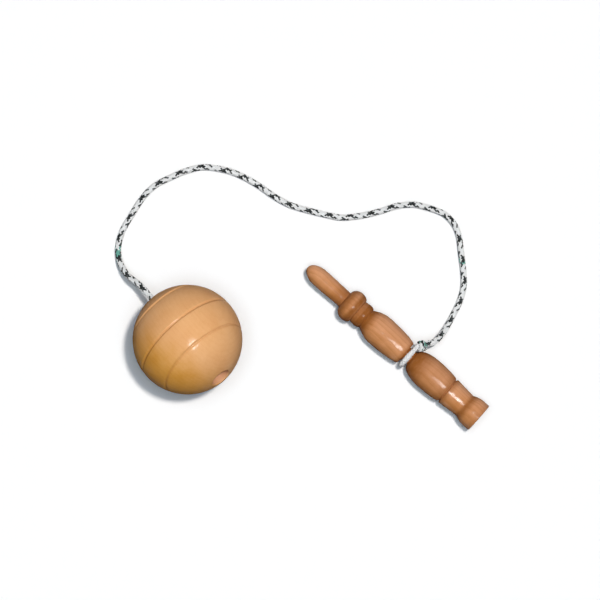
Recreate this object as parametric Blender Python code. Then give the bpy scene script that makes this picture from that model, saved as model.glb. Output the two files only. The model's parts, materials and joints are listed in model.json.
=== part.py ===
"""Cup and ball: a turned ball on a braided cord, tied to a turned handle with a spike.

Metres, +Z up. +X runs along the handle from its spike to its foot. Both wooden pieces lie on the
plane z = 0, and the origin is below the middle of the box that holds the two of them.
"""

import math

import bmesh
import bpy
from mathutils import Euler, Vector

# Clearances
GAP = 0.0003
SPIKE_CLEARANCE = 0.0003
CORD_CLEARANCE = 0.0003
LOOP_CLEARANCE = 0.0005
GROOVE_ROOM = 0.0006

# Cord and its knots
CORD_DIAMETER = 0.0034
HITCH_DIAMETER = 0.0060
STOP_KNOT_DIAMETER = 0.0090
KNOT_CREASE = 0.0006

# Handle, from the tip of the spike to the foot: lengths, and cuts into the blank that it is turned from
HANDLE_BLANK_DIAMETER = 0.0184
SPIKE_LENGTH = 0.0270
SPIKE_DIAMETER = 0.0106
SPIKE_ROOT_DIAMETER = 0.0098
SPIKE_NOSE_LENGTH = 0.0110
SPIKE_NOSE_FULLNESS = 2.6
COLLAR_LENGTH = 0.0096
COLLAR_NOSE_LENGTH = 0.0052
COLLAR_REAR_CUT = 0.0024
BEAD_LENGTH = 0.0060
BEAD_CUT = 0.0020
BEAD_VALLEY_CUT = 0.0032
UPPER_BARREL_LENGTH = 0.0288
UPPER_BARREL_NOSE_LENGTH = 0.0095
UPPER_BARREL_CUT = 0.0002
UPPER_BARREL_END_CUT = 0.0026
GROOVE_CUT = 0.0050
LOWER_BARREL_LENGTH = 0.0256
LOWER_BARREL_NOSE_LENGTH = 0.0120
LOWER_BARREL_END_CUT = 0.0015
SCORE_LENGTH = 0.0010
SCORE_DEPTH = 0.0006
NECK_LENGTH = 0.0130
NECK_TOP_CUT = 0.0010
NECK_END_CUT = 0.0020
FOOT_LENGTH = 0.0105
FOOT_NOSE_LENGTH = 0.0060
FOOT_CUT = 0.0004
FOOT_EDGE = 0.0008
FOOT_RIM_WIDTH = 0.0012

# Ball
BALL_DIAMETER = 0.0600
BORE_CHAMFER = 0.0008
CORD_HOLE_CHAMFER = 0.0006
RING_HEIGHTS = (0.0143, -0.0014, -0.0202)
RING_WIDTH = 0.0014
RING_DEPTH = 0.0007

# How the pieces lie
BALL_PLACE = (-0.0591, -0.0262)
BALL_HEADING = math.radians(-7.5)
BALL_LIFT = math.radians(20.0)
SWING_STANDOFF = 0.0040
GROOVE_PLACE = (0.0377, 0.0470)
HITCH_LIFT = math.radians(38.0)
LOOP_LEG_ANGLE = math.radians(35.0)
CORD_LIFT = 0.0001
CORD_STRAIGHT = 0.0080

# The cord's course from the ball to the hitch: down to the ground, along it, and up again
CORD_COURSE_DOWN = (
    (-0.1064, -0.0216, 0.0108),
    (-0.1132, -0.0199, 0.0060),
    (-0.1184, -0.0165, 0.0029),
)
CORD_COURSE_ON_GROUND = (
    (-0.1221, -0.0121),
    (-0.1254, -0.0050),
    (-0.1273, 0.0046),
    (-0.1289, 0.0145),
    (-0.1286, 0.0245),
    (-0.1252, 0.0335),
    (-0.1208, 0.0427),
    (-0.1149, 0.0505),
    (-0.1063, 0.0564),
    (-0.0971, 0.0603),
    (-0.0860, 0.0627),
    (-0.0751, 0.0640),
    (-0.0658, 0.0662),
    (-0.0568, 0.0703),
    (-0.0473, 0.0753),
    (-0.0397, 0.0800),
    (-0.0323, 0.0881),
    (-0.0265, 0.0963),
    (-0.0212, 0.1050),
    (-0.0146, 0.1115),
    (-0.0067, 0.1157),
    (0.0009, 0.1183),
    (0.0082, 0.1178),
    (0.0147, 0.1147),
    (0.0215, 0.1088),
    (0.0281, 0.1030),
    (0.0342, 0.0967),
    (0.0384, 0.0893),
    (0.0408, 0.0813),
)
CORD_COURSE_UP = (
    (0.0425, 0.0741, 0.0031),
    (0.0434, 0.0676, 0.0074),
    (0.0427, 0.0616, 0.0122),
)

# Fineness of the round shapes
HANDLE_SIDES = 32
BALL_SIDES = 40
KNOT_SIDES = 16
BALL_ARC_STEPS = 30
CURVE_STEPS = 6
KNOT_STEPS = 5
CORD_BEVEL_STEPS = 2
LOOP_BEVEL_STEPS = 1
LOOP_POINTS = 24
CORD_POINT_SPACING = 2.0 * CORD_DIAMETER
SMOOTHING_STEPS = 20
CREASE_ANGLE = math.radians(35.0)
MERGE_DISTANCE = 0.000001

# Sizes that follow from those above
CORD_RADIUS = CORD_DIAMETER / 2
HITCH_RADIUS = HITCH_DIAMETER / 2
STOP_KNOT_RADIUS = STOP_KNOT_DIAMETER / 2
BALL_RADIUS = BALL_DIAMETER / 2
BLANK_RADIUS = HANDLE_BLANK_DIAMETER / 2
SPIKE_RADIUS = SPIKE_DIAMETER / 2
SPIKE_ROOT_RADIUS = SPIKE_ROOT_DIAMETER / 2
COLLAR_REAR_RADIUS = BLANK_RADIUS - COLLAR_REAR_CUT
BEAD_RADIUS = BLANK_RADIUS - BEAD_CUT
BEAD_VALLEY_RADIUS = BLANK_RADIUS - BEAD_VALLEY_CUT
UPPER_BARREL_RADIUS = BLANK_RADIUS - UPPER_BARREL_CUT
UPPER_BARREL_END_RADIUS = BLANK_RADIUS - UPPER_BARREL_END_CUT
GROOVE_RADIUS = BLANK_RADIUS - GROOVE_CUT
LOWER_BARREL_END_RADIUS = BLANK_RADIUS - LOWER_BARREL_END_CUT
NECK_TOP_RADIUS = BLANK_RADIUS - NECK_TOP_CUT
NECK_END_RADIUS = BLANK_RADIUS - NECK_END_CUT
FOOT_RADIUS = BLANK_RADIUS - FOOT_CUT
BORE_RADIUS = SPIKE_RADIUS + SPIKE_CLEARANCE
CORD_HOLE_RADIUS = CORD_RADIUS + CORD_CLEARANCE
GROOVE_WIDTH = CORD_DIAMETER + 2 * GROOVE_ROOM
KNOT_ROOM = STOP_KNOT_DIAMETER + 2 * GAP
BORE_DEPTH = SPIKE_LENGTH + KNOT_ROOM
BORE_MOUTH_HEIGHT = math.sqrt(BALL_RADIUS**2 - (BORE_RADIUS + BORE_CHAMFER) ** 2)
BORE_FLOOR_HEIGHT = BORE_MOUTH_HEIGHT - BORE_DEPTH
CORD_EXIT_HEIGHT = -math.sqrt(BALL_RADIUS**2 - (CORD_HOLE_RADIUS + CORD_HOLE_CHAMFER) ** 2)
GROOVE_START = SPIKE_LENGTH + COLLAR_LENGTH + BEAD_LENGTH + UPPER_BARREL_LENGTH
LOOP_RADIUS = GROOVE_RADIUS + CORD_CLEARANCE + CORD_RADIUS

# The hitch sits clear of the barrel's shoulder, far enough out for the two legs of the loop to part
SHOULDER_CLEARANCE = math.sqrt(max(0.0, (HITCH_RADIUS + GAP) ** 2 - (GROOVE_WIDTH / 2) ** 2))
HITCH_REACH = max(
    LOOP_RADIUS / math.sin(LOOP_LEG_ANGLE),
    UPPER_BARREL_END_RADIUS + SHOULDER_CLEARANCE,
)

BALL_ROTATION = (0.0, math.pi / 2 - BALL_LIFT, BALL_HEADING)
MOUTH_DIRECTION = Vector((0.0, 0.0, 1.0))
MOUTH_DIRECTION.rotate(Euler(BALL_ROTATION))
BALL_CENTRE = Vector((*BALL_PLACE, BALL_RADIUS))
BALL_PIVOT = BALL_CENTRE - (BALL_RADIUS + SWING_STANDOFF) * MOUTH_DIRECTION
GROOVE_CENTRE = Vector((*GROOVE_PLACE, BLANK_RADIUS))
HITCH_DIRECTION = Vector((0.0, math.cos(HITCH_LIFT), math.sin(HITCH_LIFT)))
HITCH_CENTRE = GROOVE_CENTRE + HITCH_REACH * HITCH_DIRECTION


def clear_scene():
    for item in list(bpy.data.objects):
        bpy.data.objects.remove(item, do_unlink=True)


def finish(name, colour, roughness):
    """A plain material with one colour."""
    material = bpy.data.materials.new(name)
    material.use_nodes = True
    shader = material.node_tree.nodes["Principled BSDF"]
    shader.inputs["Base Color"].default_value = (*colour, 1.0)
    shader.inputs["Roughness"].default_value = roughness
    shader.inputs["Metallic"].default_value = 0.0
    return material


def add_object(name, data, material, parent, place, rotation=(0.0, 0.0, 0.0)):
    """An object at a place in the world, carried by the empty on its joint's axis."""
    data.materials.append(material)
    item = bpy.data.objects.new(name, data)
    item.parent = parent
    item.location = Vector(place) - (parent.location if parent else Vector())
    item.rotation_euler = rotation
    bpy.context.collection.objects.link(item)
    return item


def add_pivot(name, place):
    pivot = bpy.data.objects.new(name, None)
    pivot.location = place
    bpy.context.collection.objects.link(pivot)
    return pivot


def turned_mesh(name, outline, sides, ring=False):
    """A shape turned about local +Z from (height, radius) pairs. A ring's outline closes on itself."""
    shape = bmesh.new()
    points = [shape.verts.new((radius, 0.0, height)) for height, radius in outline]
    pairs = list(zip(points, points[1:]))
    if ring:
        pairs.append((points[-1], points[0]))
    edges = [shape.edges.new(pair) for pair in pairs]
    bmesh.ops.spin(
        shape,
        geom=points + edges,
        cent=(0.0, 0.0, 0.0),
        axis=(0.0, 0.0, 1.0),
        angle=2 * math.pi,
        steps=sides,
        use_merge=True,
    )
    bmesh.ops.remove_doubles(shape, verts=shape.verts, dist=MERGE_DISTANCE)
    bmesh.ops.recalc_face_normals(shape, faces=shape.faces)
    mesh = bpy.data.meshes.new(name)
    shape.to_mesh(mesh)
    shape.free()
    mesh.shade_smooth()
    mesh.set_sharp_from_angle(angle=CREASE_ANGLE)
    return mesh


def swelling(start, length, first_radius, last_radius, steps=CURVE_STEPS):
    """A stretch that leaves at a slope and levels off at its far end."""
    for step in range(steps + 1):
        share = step / steps
        radius = first_radius + (last_radius - first_radius) * math.sin(share * math.pi / 2)
        yield start + share * length, radius


def rounding(start, length, first_radius, last_radius, steps=CURVE_STEPS):
    """A stretch that leaves level and rounds off, as a quarter of an ellipse."""
    for step in range(steps + 1):
        angle = step / steps * math.pi / 2
        yield start + length * math.sin(angle), last_radius + (first_radius - last_radius) * math.cos(angle)


def rising(start, length, first_radius, last_radius, steps=CURVE_STEPS):
    """A quarter of an ellipse that rises from a square shoulder and ends level."""
    for step in range(steps + 1):
        angle = step / steps * math.pi / 2
        radius = first_radius + (last_radius - first_radius) * math.sin(angle)
        yield start + length * (1 - math.cos(angle)), radius


def spike_outline():
    """A blunt nose, then a slight taper to the collar."""
    for step in range(CURVE_STEPS + 1):
        share = 1 - math.cos(step / CURVE_STEPS * math.pi / 2)
        fullness = math.sqrt(1 - (1 - share) ** SPIKE_NOSE_FULLNESS)
        yield share * SPIKE_NOSE_LENGTH, SPIKE_RADIUS * fullness
    yield SPIKE_LENGTH, SPIKE_ROOT_RADIUS


def collar_outline(start):
    crown = start + COLLAR_NOSE_LENGTH
    rear_length = COLLAR_LENGTH - COLLAR_NOSE_LENGTH
    yield from rising(start, COLLAR_NOSE_LENGTH, SPIKE_ROOT_RADIUS, BLANK_RADIUS)
    yield from rounding(crown, rear_length, BLANK_RADIUS, COLLAR_REAR_RADIUS)


def bead_outline(start):
    """A low bead that falls to the valley before the barrel."""
    crown = start + BEAD_LENGTH / 2
    yield from swelling(start, BEAD_LENGTH / 2, COLLAR_REAR_RADIUS, BEAD_RADIUS, KNOT_STEPS)
    yield from rounding(crown, BEAD_LENGTH / 2, BEAD_RADIUS, BEAD_VALLEY_RADIUS, KNOT_STEPS)


def upper_barrel_outline(start):
    crown = start + UPPER_BARREL_NOSE_LENGTH
    rear_length = UPPER_BARREL_LENGTH - UPPER_BARREL_NOSE_LENGTH
    yield from swelling(start, UPPER_BARREL_NOSE_LENGTH, BEAD_VALLEY_RADIUS, UPPER_BARREL_RADIUS)
    yield from rounding(crown, rear_length, UPPER_BARREL_RADIUS, UPPER_BARREL_END_RADIUS)


def groove_outline(start):
    yield start, GROOVE_RADIUS
    yield start + GROOVE_WIDTH, GROOVE_RADIUS


def lower_barrel_outline(start):
    """A barrel that rises from the groove with a round end."""
    crown = start + LOWER_BARREL_NOSE_LENGTH
    rear_length = LOWER_BARREL_LENGTH - LOWER_BARREL_NOSE_LENGTH
    yield from rising(start, LOWER_BARREL_NOSE_LENGTH, GROOVE_RADIUS, BLANK_RADIUS)
    yield from rounding(crown, rear_length, BLANK_RADIUS, LOWER_BARREL_END_RADIUS)


def neck_outline(start):
    """The scored line below the barrel, then a neck that tapers to the foot."""
    yield start + SCORE_LENGTH / 2, min(LOWER_BARREL_END_RADIUS, NECK_TOP_RADIUS) - SCORE_DEPTH
    yield start + SCORE_LENGTH, NECK_TOP_RADIUS
    yield start + NECK_LENGTH, NECK_END_RADIUS


def foot_outline(start):
    """A flared foot with an eased edge, a flat rim and a dish that the ball's own curve fits."""
    yield from swelling(start, FOOT_NOSE_LENGTH, NECK_END_RADIUS, FOOT_RADIUS)
    end = start + FOOT_LENGTH
    yield end - FOOT_EDGE, FOOT_RADIUS
    yield end, FOOT_RADIUS - FOOT_EDGE
    dish_radius = FOOT_RADIUS - FOOT_EDGE - FOOT_RIM_WIDTH
    rim_depth = math.sqrt(BALL_RADIUS**2 - dish_radius**2)
    for step in range(CURVE_STEPS + 1):
        radius = dish_radius * (1 - step / CURVE_STEPS)
        yield end + rim_depth - math.sqrt(BALL_RADIUS**2 - radius**2), radius


def without_repeats(outline):
    """Drop a point that falls on the one before it, where two stretches of outline meet."""
    kept = []
    for height, radius in outline:
        if not kept or math.dist(kept[-1], (height, radius)) > MERGE_DISTANCE:
            kept.append((height, radius))
    return kept


def make_handle(parent):
    outline = []
    start = SPIKE_LENGTH
    outline += spike_outline()
    for stretch, length in (
        (collar_outline, COLLAR_LENGTH),
        (bead_outline, BEAD_LENGTH),
        (upper_barrel_outline, UPPER_BARREL_LENGTH),
        (groove_outline, GROOVE_WIDTH),
        (lower_barrel_outline, LOWER_BARREL_LENGTH),
        (neck_outline, NECK_LENGTH),
        (foot_outline, FOOT_LENGTH),
    ):
        outline += stretch(start)
        start += length
    mesh = turned_mesh("handle", without_repeats(outline), HANDLE_SIDES)
    tip = GROOVE_CENTRE - Vector((GROOVE_START + GROOVE_WIDTH / 2, 0.0, 0.0))
    material = finish("handle_wood", (0.50, 0.25, 0.10), 0.35)
    return add_object("handle", mesh, material, parent, tip, (0.0, math.pi / 2, 0.0))


def ball_skin():
    """The round outside from the spike hole's mouth to the cord hole, with its scored rings."""
    first = math.acos(BORE_MOUTH_HEIGHT / BALL_RADIUS)
    last = math.acos(CORD_EXIT_HEIGHT / BALL_RADIUS)
    half_ring = RING_WIDTH / 2 / BALL_RADIUS
    ring_angles = [math.acos(height / BALL_RADIUS) for height in RING_HEIGHTS]
    cuts = [(angle + side * half_ring, BALL_RADIUS) for angle in ring_angles for side in (-1, 1)]
    cuts += [(angle, BALL_RADIUS - RING_DEPTH) for angle in ring_angles]
    step_angle = (last - first) / BALL_ARC_STEPS
    for step in range(BALL_ARC_STEPS + 1):
        angle = first + step * step_angle
        is_end = step in (0, BALL_ARC_STEPS)
        if is_end or all(abs(angle - ring) > half_ring + step_angle / 3 for ring in ring_angles):
            cuts.append((angle, BALL_RADIUS))
    for angle, radius in sorted(cuts):
        yield radius * math.cos(angle), radius * math.sin(angle)


def make_ball(parent):
    """A ball bored from one side for the spike and from the other for the cord."""
    outline = list(ball_skin())
    outline += [
        (CORD_EXIT_HEIGHT + CORD_HOLE_CHAMFER, CORD_HOLE_RADIUS),
        (BORE_FLOOR_HEIGHT, CORD_HOLE_RADIUS),
        (BORE_FLOOR_HEIGHT, BORE_RADIUS),
        (BORE_MOUTH_HEIGHT - BORE_CHAMFER, BORE_RADIUS),
    ]
    mesh = turned_mesh("ball", outline, BALL_SIDES, ring=True)
    material = finish("ball_wood", (0.65, 0.36, 0.14), 0.30)
    return add_object("ball", mesh, material, parent, BALL_CENTRE, BALL_ROTATION)


def knot_outline(radius):
    """A round lump of two turns of cord, with a crease between them."""
    yield -radius, 0.0
    for step in range(1, 2 * KNOT_STEPS):
        angle = math.pi * (1 - step / (2 * KNOT_STEPS))
        reach = radius - (KNOT_CREASE if step == KNOT_STEPS else 0.0)
        yield reach * math.cos(angle), reach * math.sin(angle)
    yield radius, 0.0


def make_knot(name, parent, place, rotation, diameter):
    mesh = turned_mesh(name, knot_outline(diameter / 2), KNOT_SIDES)
    material = finish(name + "_braid", (0.62, 0.66, 0.62), 0.85)
    return add_object(name, mesh, material, parent, place, rotation)


def make_cord_end(parent):
    """The cord inside the ball, from the stop knot to a hollow end that the free stretch swings in."""
    inner_height = BALL_RADIUS + SWING_STANDOFF + BORE_FLOOR_HEIGHT
    socket_radius = CORD_RADIUS + GAP
    rim_angle = math.asin(CORD_RADIUS / socket_radius)
    outline = [(inner_height, 0.0), (inner_height, CORD_RADIUS)]
    for step in range(KNOT_STEPS + 1):
        angle = rim_angle * (1 - step / KNOT_STEPS)
        outline.append((socket_radius * math.cos(angle), socket_radius * math.sin(angle)))
    mesh = turned_mesh("cord_end", outline, KNOT_SIDES)
    material = finish("cord_end_braid", (0.80, 0.80, 0.78), 0.85)
    return add_object("cord_end", mesh, material, parent, BALL_PIVOT, BALL_ROTATION)


def smooth_curve(points):
    """Points close together on a smooth curve through the given ones."""
    padded = [2 * points[0] - points[1], *points, 2 * points[-1] - points[-2]]
    curve = []
    for before, start, end, after in zip(padded, padded[1:], padded[2:], padded[3:]):
        for step in range(SMOOTHING_STEPS):
            share = step / SMOOTHING_STEPS
            slope = (end - before) * share
            bend = (2 * before - 5 * start + 4 * end - after) * share**2
            turn = (3 * start - before - 3 * end + after) * share**3
            curve.append(start + (slope + bend + turn) / 2)
    return curve + [points[-1]]


def evenly_spaced(curve, spacing):
    """Points at even distances along a curve, ends included."""
    travelled = [0.0]
    for start, end in zip(curve, curve[1:]):
        travelled.append(travelled[-1] + (end - start).length)
    count = round(travelled[-1] / spacing)
    spaced = [curve[0]]
    at = 1
    for number in range(1, count):
        goal = travelled[-1] * number / count
        while travelled[at] < goal:
            at += 1
        share = (goal - travelled[at - 1]) / (travelled[at] - travelled[at - 1])
        spaced.append(curve[at - 1].lerp(curve[at], share))
    return spaced + [curve[-1]]


def tube_curve(name, points, shares, bevel):
    """A round tube along points, where shares scale its radius point by point."""
    curve = bpy.data.curves.new(name, "CURVE")
    curve.dimensions = "3D"
    curve.bevel_depth = CORD_RADIUS
    curve.bevel_resolution = bevel
    curve.use_fill_caps = True
    spline = curve.splines.new("POLY")
    spline.points.add(len(points) - 1)
    for knot, point, share in zip(spline.points, points, shares):
        knot.co = (*point, 1.0)
        knot.radius = share
    return curve


def cord_course():
    """The centreline of the free stretch, from the ball's swing point to the hitch."""
    ground_height = CORD_RADIUS + CORD_LIFT
    course = [BALL_PIVOT, BALL_PIVOT - CORD_STRAIGHT * MOUTH_DIRECTION]
    course += [Vector(point) for point in CORD_COURSE_DOWN]
    course += [Vector((x, y, ground_height)) for x, y in CORD_COURSE_ON_GROUND]
    course += [Vector(point) for point in CORD_COURSE_UP]
    leaving = (course[-1] - HITCH_CENTRE).normalized()
    course.append(HITCH_CENTRE + (HITCH_RADIUS + GAP) * leaving)
    return course


def make_cord_run():
    """The free stretch, with a round end in the hollow of the cord's end in the ball."""
    points = evenly_spaced(smooth_curve(cord_course()), CORD_POINT_SPACING)
    shares = [1.0] * len(points)
    for step in range(1, KNOT_STEPS):
        angle = step / KNOT_STEPS * math.pi / 2
        points.insert(0, BALL_PIVOT + CORD_RADIUS * math.sin(angle) * MOUTH_DIRECTION)
        shares.insert(0, math.cos(angle))
    length = sum((end - start).length for start, end in zip(points, points[1:]))
    print(f"cord_run length {length * 1000:.1f} mm")
    material = finish("cord_braid", (0.80, 0.80, 0.78), 0.85)
    curve = tube_curve("cord_run", points, shares, CORD_BEVEL_STEPS)
    return add_object("cord_run", curve, material, None, (0.0, 0.0, 0.0))


def loop_points():
    """One turn round the groove and the two legs that run to the hitch, measured from the hitch."""
    outward = HITCH_DIRECTION
    across = Vector((0.0, -outward.z, outward.y))
    leg_angle = math.asin(LOOP_RADIUS / HITCH_REACH)
    leg_start = max(HITCH_RADIUS + GAP, (CORD_DIAMETER + LOOP_CLEARANCE) / 2 / math.sin(leg_angle))
    first_turn = math.pi / 2 - leg_angle
    points = []
    for step in range(LOOP_POINTS + 1):
        angle = first_turn + step / LOOP_POINTS * 2 * (math.pi - first_turn)
        spoke = math.cos(angle) * outward + math.sin(angle) * across
        points.append(LOOP_RADIUS * spoke - HITCH_REACH * outward)
    for side, place in ((1, 0), (-1, len(points) + 1)):
        leg = -math.cos(leg_angle) * outward + side * math.sin(leg_angle) * across
        points.insert(place, leg_start * leg)
    return points


def least_gap_to_itself(points):
    """The least distance between the skins of stretches that aren't neighbours along the cord."""
    fine = evenly_spaced(points, CORD_RADIUS / 2)
    apart = round(math.pi * LOOP_RADIUS / (CORD_RADIUS / 2))
    pairs = [(a, b) for at, a in enumerate(fine) for b in fine[at + apart :]]
    return min((a - b).length for a, b in pairs) - CORD_DIAMETER


def make_cord_loop(parent):
    points = loop_points()
    print(f"cord_loop least gap to itself {least_gap_to_itself(points) * 1000:.2f} mm")
    material = finish("cord_loop_braid", (0.80, 0.80, 0.78), 0.85)
    curve = tube_curve("cord_loop", points, [1.0] * len(points), LOOP_BEVEL_STEPS)
    return add_object("cord_loop", curve, material, parent, HITCH_CENTRE)


def main():
    clear_scene()
    ball_pivot = add_pivot("ball_swing_pivot", BALL_PIVOT)
    handle_pivot = add_pivot("handle_swing_pivot", HITCH_CENTRE)
    make_ball(ball_pivot)
    make_cord_end(ball_pivot)
    stop_knot_place = BALL_CENTRE + (BORE_FLOOR_HEIGHT + GAP + STOP_KNOT_RADIUS) * MOUTH_DIRECTION
    make_knot("stop_knot", ball_pivot, stop_knot_place, BALL_ROTATION, STOP_KNOT_DIAMETER)
    make_cord_run()
    make_handle(handle_pivot)
    make_cord_loop(handle_pivot)
    hitch_rotation = (HITCH_LIFT - math.pi / 2, 0.0, 0.0)
    make_knot("cord_hitch", handle_pivot, HITCH_CENTRE, hitch_rotation, HITCH_DIAMETER)


main()
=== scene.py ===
"""Cup and ball, dressed: turned and varnished wood, and a braided cord of sixteen yarns.

Metres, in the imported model's own frame. +X runs along the handle from its spike to its foot, +Z is up.
"""

import json
import math

import bpy
import numpy as np
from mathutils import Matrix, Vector


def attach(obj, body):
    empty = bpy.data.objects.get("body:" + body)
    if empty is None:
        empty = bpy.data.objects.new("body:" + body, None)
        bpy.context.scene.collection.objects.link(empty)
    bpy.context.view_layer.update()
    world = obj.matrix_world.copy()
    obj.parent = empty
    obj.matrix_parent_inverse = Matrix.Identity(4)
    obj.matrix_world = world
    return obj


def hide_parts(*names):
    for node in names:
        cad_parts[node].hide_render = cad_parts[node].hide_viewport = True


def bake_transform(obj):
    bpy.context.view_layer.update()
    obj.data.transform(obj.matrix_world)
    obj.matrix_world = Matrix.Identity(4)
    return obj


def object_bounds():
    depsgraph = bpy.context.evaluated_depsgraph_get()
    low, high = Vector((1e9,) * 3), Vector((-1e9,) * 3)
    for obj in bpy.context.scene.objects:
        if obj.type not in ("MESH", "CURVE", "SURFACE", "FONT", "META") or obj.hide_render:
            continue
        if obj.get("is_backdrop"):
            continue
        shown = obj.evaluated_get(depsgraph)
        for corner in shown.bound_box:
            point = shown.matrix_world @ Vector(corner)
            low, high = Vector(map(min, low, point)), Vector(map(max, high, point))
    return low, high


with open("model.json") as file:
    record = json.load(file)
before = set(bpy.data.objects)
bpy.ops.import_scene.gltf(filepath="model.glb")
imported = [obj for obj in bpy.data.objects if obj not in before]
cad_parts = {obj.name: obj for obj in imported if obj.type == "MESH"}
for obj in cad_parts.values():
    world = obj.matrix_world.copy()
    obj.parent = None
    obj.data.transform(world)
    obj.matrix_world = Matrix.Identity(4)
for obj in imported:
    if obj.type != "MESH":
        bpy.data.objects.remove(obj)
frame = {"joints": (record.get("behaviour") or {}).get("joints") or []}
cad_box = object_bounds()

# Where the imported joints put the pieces
JOINTS = {joint["name"]: joint for joint in frame["joints"]}
BALL_CENTRE = Vector(JOINTS["ball_spin"]["pos_m"])
MOUTH_DIRECTION = Vector(JOINTS["ball_spin"]["axis"]).normalized()
BALL_PIVOT = Vector(JOINTS["ball_swing"]["pos_m"])
HITCH_CENTRE = Vector(JOINTS["handle_swing"]["pos_m"])
GROOVE_CENTRE = Vector(JOINTS["handle_turn"]["pos_m"])
HANDLE_AXIS = Vector((1.0, 0.0, 0.0))
UP = Vector((0.0, 0.0, 1.0))
MILLIMETRES_PER_METRE = 1000.0

# Handle, from the tip of the spike to the foot
BLANK_RADIUS = 0.0092
SPIKE_LENGTH = 0.0270
SPIKE_RADIUS = 0.0053
SPIKE_ROOT_RADIUS = 0.0049
SPIKE_NOSE_LENGTH = 0.0110
SPIKE_NOSE_FULLNESS = 2.6
COLLAR_LENGTH = 0.0096
COLLAR_NOSE_LENGTH = 0.0052
COLLAR_REAR_RADIUS = 0.0068
BEAD_LENGTH = 0.0060
BEAD_RADIUS = 0.0072
BEAD_VALLEY_RADIUS = 0.0060
UPPER_BARREL_LENGTH = 0.0288
UPPER_BARREL_NOSE_LENGTH = 0.0095
UPPER_BARREL_RADIUS = 0.0090
UPPER_BARREL_END_RADIUS = 0.0066
GROOVE_RADIUS = 0.0042
GROOVE_WIDTH = 0.0046
LOWER_BARREL_LENGTH = 0.0256
LOWER_BARREL_NOSE_LENGTH = 0.0120
LOWER_BARREL_END_RADIUS = 0.0077
SCORE_LENGTH = 0.0010
SCORE_DEPTH = 0.0006
NECK_LENGTH = 0.0130
NECK_TOP_RADIUS = 0.0082
NECK_END_RADIUS = 0.0072
FOOT_LENGTH = 0.0105
FOOT_NOSE_LENGTH = 0.0060
FOOT_RADIUS = 0.0088
FOOT_EDGE = 0.0008
FOOT_RIM_WIDTH = 0.0012

# Painted shade along the handle, darker in its hollows and creases, on some faces and at the end of the
# foot: start, full, last full and end from the tip, then share
PAINTED_SHADE_STRETCHES = (
    (0.0180, 0.0255, 0.0292, 0.0322, 0.70),
    (0.0315, 0.0338, 0.0350, 0.0375, 0.90),
    (0.0330, 0.0360, 0.0385, 0.0420, 0.70),
    (0.0372, 0.0395, 0.0440, 0.0478, 1.00),
    (0.0690, 0.0715, 0.0790, 0.0905, 1.00),
    (0.0830, 0.0900, 0.0985, 0.1010, 0.24),
    (0.0945, 0.1005, 0.1030, 0.1055, 0.60),
    (0.1130, 0.1149, 0.1158, 0.1186, 0.78),
    (0.1215, 0.1240, 0.1260, 0.1270, 0.35),
)

# Where the varnish lies thick and shines most, given in the same way
POLISHED_STRETCHES = (
    (0.1020, 0.1045, 0.1105, 0.1135, 1.00),
    (0.1190, 0.1215, 0.1248, 0.1258, 1.00),
)

# Ball
BALL_RADIUS = 0.0300
BORE_RADIUS = 0.0056
BORE_DEPTH = 0.0366
BORE_CHAMFER = 0.0008
BORE_LIP = 0.0004
CORD_HOLE_RADIUS = 0.0020
CORD_HOLE_LIP = 0.0006
RINGS = ((0.0143, 0.00045), (-0.0014, 0.00060), (-0.0202, 0.00070))
RING_WIDTH = 0.0024
RING_MARGIN = 1.2
# Depth below the ball's skin at which the shade painted into its rings and round its holes is full
FULL_PAINTED_SHADE_DEPTH = 0.0021
BARE_WOOD_DEPTH = 2 * BORE_CHAMFER
BORE_FLOOR_HEIGHT = math.sqrt(BALL_RADIUS**2 - (BORE_RADIUS + BORE_CHAMFER) ** 2) - BORE_DEPTH
BORE_MOUTH_HEIGHT = math.sqrt(BALL_RADIUS**2 - (BORE_RADIUS + BORE_LIP) ** 2)
CORD_EXIT_HEIGHT = -math.sqrt(BALL_RADIUS**2 - (CORD_HOLE_RADIUS + CORD_HOLE_LIP) ** 2)

# The cord's course: out of the ball and down to the ground, along it, and up to the hitch
CORD_DIAMETER = 0.0034
CORD_RADIUS = CORD_DIAMETER / 2
CORD_LIFT = 0.0001
CORD_STRAIGHT = 0.0080
CORD_START_HEIGHT = -0.0060
CORD_COURSE_DOWN = (
    (-0.1064, -0.0216, 0.0108),
    (-0.1132, -0.0199, 0.0060),
    (-0.1184, -0.0165, 0.0029),
)
CORD_COURSE_ON_GROUND = (
    (-0.1221, -0.0121),
    (-0.1254, -0.0050),
    (-0.1273, 0.0046),
    (-0.1289, 0.0145),
    (-0.1286, 0.0245),
    (-0.1252, 0.0335),
    (-0.1208, 0.0427),
    (-0.1149, 0.0505),
    (-0.1063, 0.0564),
    (-0.0971, 0.0603),
    (-0.0860, 0.0627),
    (-0.0751, 0.0640),
    (-0.0658, 0.0662),
    (-0.0568, 0.0703),
    (-0.0473, 0.0753),
    (-0.0397, 0.0800),
    (-0.0323, 0.0881),
    (-0.0265, 0.0963),
    (-0.0212, 0.1050),
    (-0.0146, 0.1115),
    (-0.0067, 0.1157),
    (0.0009, 0.1183),
    (0.0082, 0.1178),
    (0.0147, 0.1147),
    (0.0215, 0.1088),
    (0.0281, 0.1030),
    (0.0342, 0.0967),
    (0.0384, 0.0893),
    (0.0408, 0.0813),
)
CORD_COURSE_UP = (
    (0.0425, 0.0741, 0.0031),
    (0.0434, 0.0676, 0.0074),
    (0.0427, 0.0616, 0.0122),
)

# Braid: eight yarns each way round a core, two over and two under
BRAID_STEP = 0.00035
YARNS_EACH_WAY = 8
YARN_SIDES = 6
YARN_WIDTH = 0.54 * CORD_RADIUS
YARN_THICKNESS = 0.30 * CORD_RADIUS
YARN_MIDDLE = 0.725 * CORD_RADIUS
YARN_LIFT = 0.12 * CORD_RADIUS
YARN_FLATNESS = 1.5
CORE_RADIUS = 0.525 * CORD_RADIUS
CORE_SIDES = 10
SMOOTHING_STEPS = 24
FIRST_CROSSING = 0.5
TOP_YARN_NUMBER = 0.75

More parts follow.
